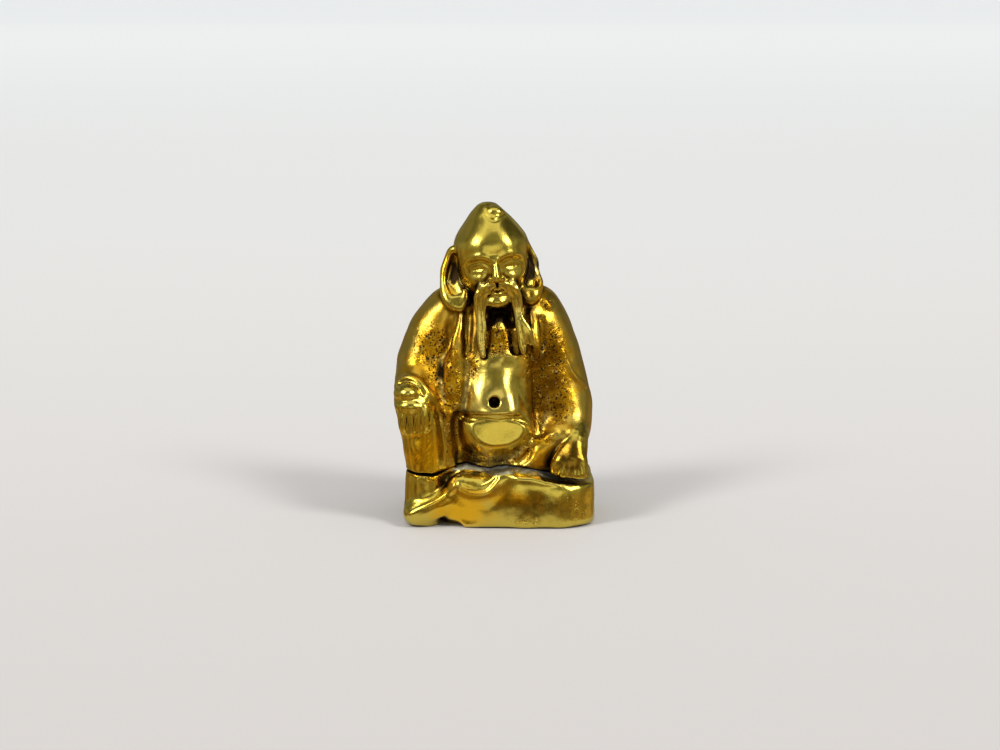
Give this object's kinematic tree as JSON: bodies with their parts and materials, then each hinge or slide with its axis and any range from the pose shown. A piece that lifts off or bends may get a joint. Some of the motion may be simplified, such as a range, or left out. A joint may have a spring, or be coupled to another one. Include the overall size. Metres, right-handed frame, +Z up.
{
  "type": "seated sage figurine",
  "caption": "Small cast brass figurine of a seated bearded sage with long ears, one knee raised and one leg folded flat; stands on its flat base as an ornament or paperweight.",
  "frame": {"origin": "on the floor, under the centre of the footprint", "axes": "+Z up, the figure faces -Y, its right side is at -X"},
  "size_m": [0.0316, 0.0236, 0.0505],
  "materials": {
    "polished_brass": "rubbed bright, with fine brush marks",
    "cast_brass": "darker pitted casting skin with aged hollows"
  },
  "bodies": {
    "root": {"topknot": "polished_brass", "right_ear": "polished_brass", "left_ear": "polished_brass", "right_moustache": "polished_brass", "left_moustache": "polished_brass", "head": "polished_brass", "right_hand": "polished_brass", "left_hand": "polished_brass", "belly": "polished_brass", "right_leg": "polished_brass", "right_sleeve": "cast_brass", "left_sleeve": "cast_brass", "robe": "cast_brass", "right_foot": "polished_brass", "robe_hem": "cast_brass", "left_leg": "polished_brass", "seat": "cast_brass"}
  },
  "joints": []
}
